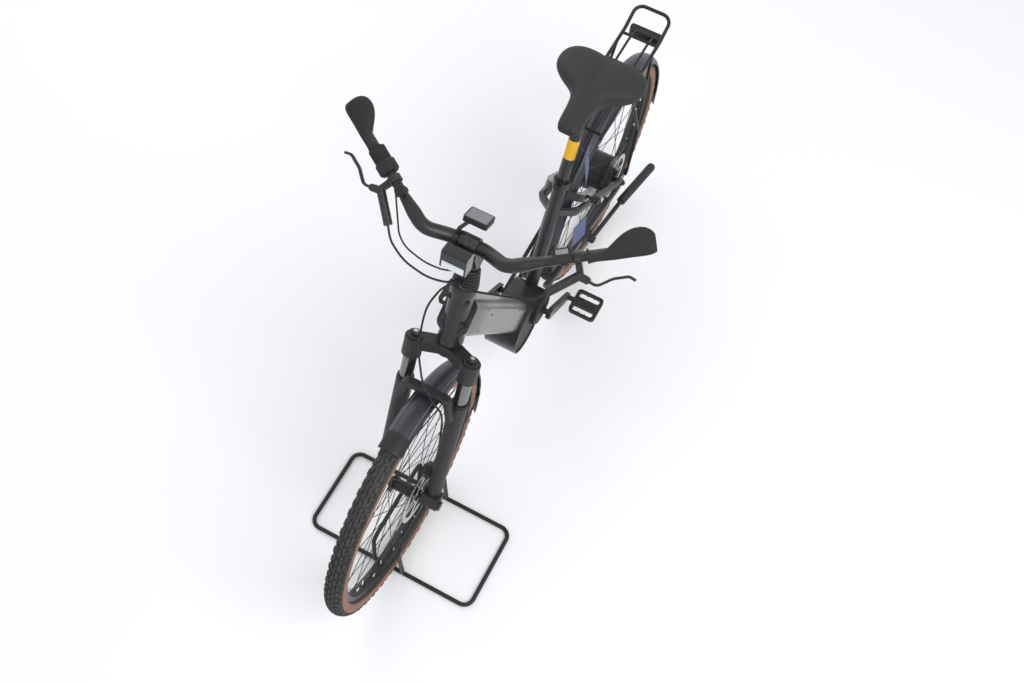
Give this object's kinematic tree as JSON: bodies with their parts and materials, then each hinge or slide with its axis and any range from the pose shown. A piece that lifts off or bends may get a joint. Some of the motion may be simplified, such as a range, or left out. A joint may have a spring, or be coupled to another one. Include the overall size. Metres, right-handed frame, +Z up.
{
  "type": "electric city bicycle on a display stand",
  "caption": "Step-through electric city bicycle with suspension fork, mudguards, rack and belt drive, its front wheel held in a bent-wire floor stand.",
  "frame": {"origin": "on the floor plane, midway along the bicycle from the rear edge of the rear mudguard to the front of the front tyre, on the wheels' middle plane", "axes": "+X towards the front wheel, +Y to the rider's left, +Z up"},
  "size_m": [1.8703, 0.7416, 1.2293],
  "materials": {
    "frame_paint": "painted satin",
    "black_paint": "painted satin",
    "stand_wire": "satin",
    "stanchion_coat": "polished",
    "tyre_rubber": "matt",
    "rubber": "matt",
    "steel": "brushed",
    "spoke_black": "gloss",
    "alloy": "satin",
    "black_alloy": "anodised",
    "plastic": "matt",
    "grey_plastic": "matt",
    "gloss_plastic": "gloss",
    "lens": "clear",
    "red_lens": "gloss",
    "saddle_skin": "matt",
    "card": "matt"
  },
  "bodies": {
    "stand": {"stand_floor_loop": "stand_wire", "stand_hoops": "stand_wire"},
    "fork_upper": {"stanchions": "stanchion_coat", "fork_crown": "black_paint", "headset_cover": "plastic", "stem": "black_alloy", "stem_cover": "grey_plastic", "handlebar": "black_alloy", "grips": "rubber", "brake_bodies": "black_alloy", "bar_controls": "plastic", "display_body": "plastic", "display_screen": "gloss_plastic", "headlight_body": "plastic", "headlight_lens": "lens", "bar_cables": "rubber"},
    "fork_lower": {"fork_lowers": "black_paint", "fork_seals": "rubber", "front_thru_axle": "black_alloy", "front_mudguard": "plastic", "front_caliper": "black_alloy", "front_brake_hose": "rubber"},
    "front_wheel": {"front_tyre": "tyre_rubber", "front_rim": "black_alloy", "front_spokes": "spoke_black", "front_hub": "black_alloy", "front_rotor": "steel"},
    "frame": {"main_frame": "frame_paint", "battery": "plastic", "battery_cover": "frame_paint", "motor": "plastic", "rear_stays": "frame_paint", "seat_post": "black_alloy", "saddle_frame": "plastic", "saddle_cushion": "saddle_skin", "rear_mudguard": "plastic", "rear_caliper": "black_alloy", "rack": "black_paint", "tail_light": "red_lens", "ring_lock": "gloss_plastic", "hang_tags": "card", "belt": "rubber"},
    "rear_wheel": {"rear_tyre": "tyre_rubber", "rear_rim": "black_alloy", "rear_spokes": "spoke_black", "rear_hub": "black_alloy", "rear_rotor": "steel"},
    "cranks": {"crank_arms": "black_alloy", "front_pulley": "black_alloy"},
    "belt_driver": {"rear_pulley": "steel"},
    "left_pedal": {"left_pedal": "plastic"},
    "right_pedal": {"right_pedal": "plastic"},
    "kickstand": {"kickstand_leg": "black_alloy"},
    "left_lever": {"left_brake_lever": "black_alloy"},
    "right_lever": {"right_brake_lever": "black_alloy"},
    "shifter_sleeve": {"twist_shifter": "rubber"},
    "rocker": {"remote_rocker": "grey_plastic"},
    "bell_striker": {"bell_lever": "plastic"},
    "lockout": {"lockout_dial": "black_alloy"},
    "preload": {"preload_knob": "black_alloy"}
  },
  "joints": [
    {"name": "bike_lift", "type": "slide", "parent": "stand", "child": "fork_upper", "axis": [0, 0, 1], "range_m": [0, 0.25]},
    {"name": "suspension", "type": "slide", "parent": "fork_upper", "child": "fork_lower", "axis": [-0.3907, 0, 0.9205], "range_m": [0, 0.063], "stiffness_N_per_m": 6000, "springref_m": -0.004, "deforming": ["front_brake_hose"]},
    {"name": "steering", "type": "hinge", "parent": "fork_upper", "child": "frame", "pos_m": [0.53291, 0, 0.34203], "axis": [-0.3907, 0, 0.9205], "range_deg": [-30, 30]},
    {"name": "front_wheel_spin", "type": "hinge", "parent": "fork_lower", "child": "front_wheel", "pos_m": [0.57525, 0, 0.36], "axis": [0, 1, 0], "continuous": true},
    {"name": "rear_wheel_spin", "type": "hinge", "parent": "frame", "child": "rear_wheel", "pos_m": [-0.56475, 0, 0.36], "axis": [0, 1, 0], "continuous": true},
    {"name": "crank_spin", "type": "hinge", "parent": "frame", "child": "cranks", "pos_m": [-0.09875, 0, 0.296], "axis": [0, 1, 0], "continuous": true},
    {"name": "belt_driver_spin", "type": "hinge", "parent": "frame", "child": "belt_driver", "pos_m": [-0.56475, 0, 0.36], "axis": [0, 1, 0], "continuous": true},
    {"name": "left_pedal_spin", "type": "hinge", "parent": "cranks", "child": "left_pedal", "pos_m": [-0.23086, 0, 0.18902], "axis": [0, 1, 0], "continuous": true},
    {"name": "right_pedal_spin", "type": "hinge", "parent": "cranks", "child": "right_pedal", "pos_m": [0.03336, 0, 0.40298], "axis": [0, 1, 0], "continuous": true},
    {"name": "kickstand_swing", "type": "hinge", "parent": "frame", "child": "kickstand", "pos_m": [-0.36475, 0.078, 0.326], "axis": [0, -1, 0], "range_deg": [0, 96]},
    {"name": "left_brake_squeeze", "type": "hinge", "parent": "fork_upper", "child": "left_lever", "pos_m": [0.23766, 0.26526, 1.14188], "axis": [0.5726, 0.0591, 0.8177], "range_deg": [0, 20], "stiffness_Nm_per_rad": 1.2, "springref_deg": -5.73},
    {"name": "right_brake_squeeze", "type": "hinge", "parent": "fork_upper", "child": "right_lever", "pos_m": [0.25274, -0.23838, 1.13327], "axis": [-0.5726, 0.0591, -0.8177], "range_deg": [0, 20], "stiffness_Nm_per_rad": 1.2, "springref_deg": -5.73},
    {"name": "gear_twist", "type": "hinge", "parent": "fork_upper", "child": "shifter_sleeve", "pos_m": [0.20034, -0.245, 1.16948], "axis": [-0.4712, -0.8399, 0.2693], "range_deg": [-45, 45]},
    {"name": "remote_rock", "type": "hinge", "parent": "fork_upper", "child": "rocker", "pos_m": [0.22593, 0.19658, 1.18331], "axis": [0.6709, 0.5395, -0.5087], "range_deg": [-4, 4], "stiffness_Nm_per_rad": 0.6},
    {"name": "bell_flick", "type": "hinge", "parent": "fork_upper", "child": "bell_striker", "pos_m": [0.23902, -0.18758, 1.16745], "axis": [-0.5726, 0.0591, -0.8177], "range_deg": [0, 20], "stiffness_Nm_per_rad": 0.05},
    {"name": "lockout_turn", "type": "hinge", "parent": "fork_upper", "child": "lockout", "pos_m": [0.36884, 0.074, 0.81556], "axis": [-0.3907, 0, 0.9205], "range_deg": [0, 90]},
    {"name": "preload_turn", "type": "hinge", "parent": "fork_upper", "child": "preload", "pos_m": [0.36884, -0.074, 0.81556], "axis": [-0.3907, 0, 0.9205], "range_deg": [0, 350]}
  ],
  "couplings": [
    {"joint": "belt_driver_spin", "follows": "crank_spin", "ratio": 2}
  ]
}
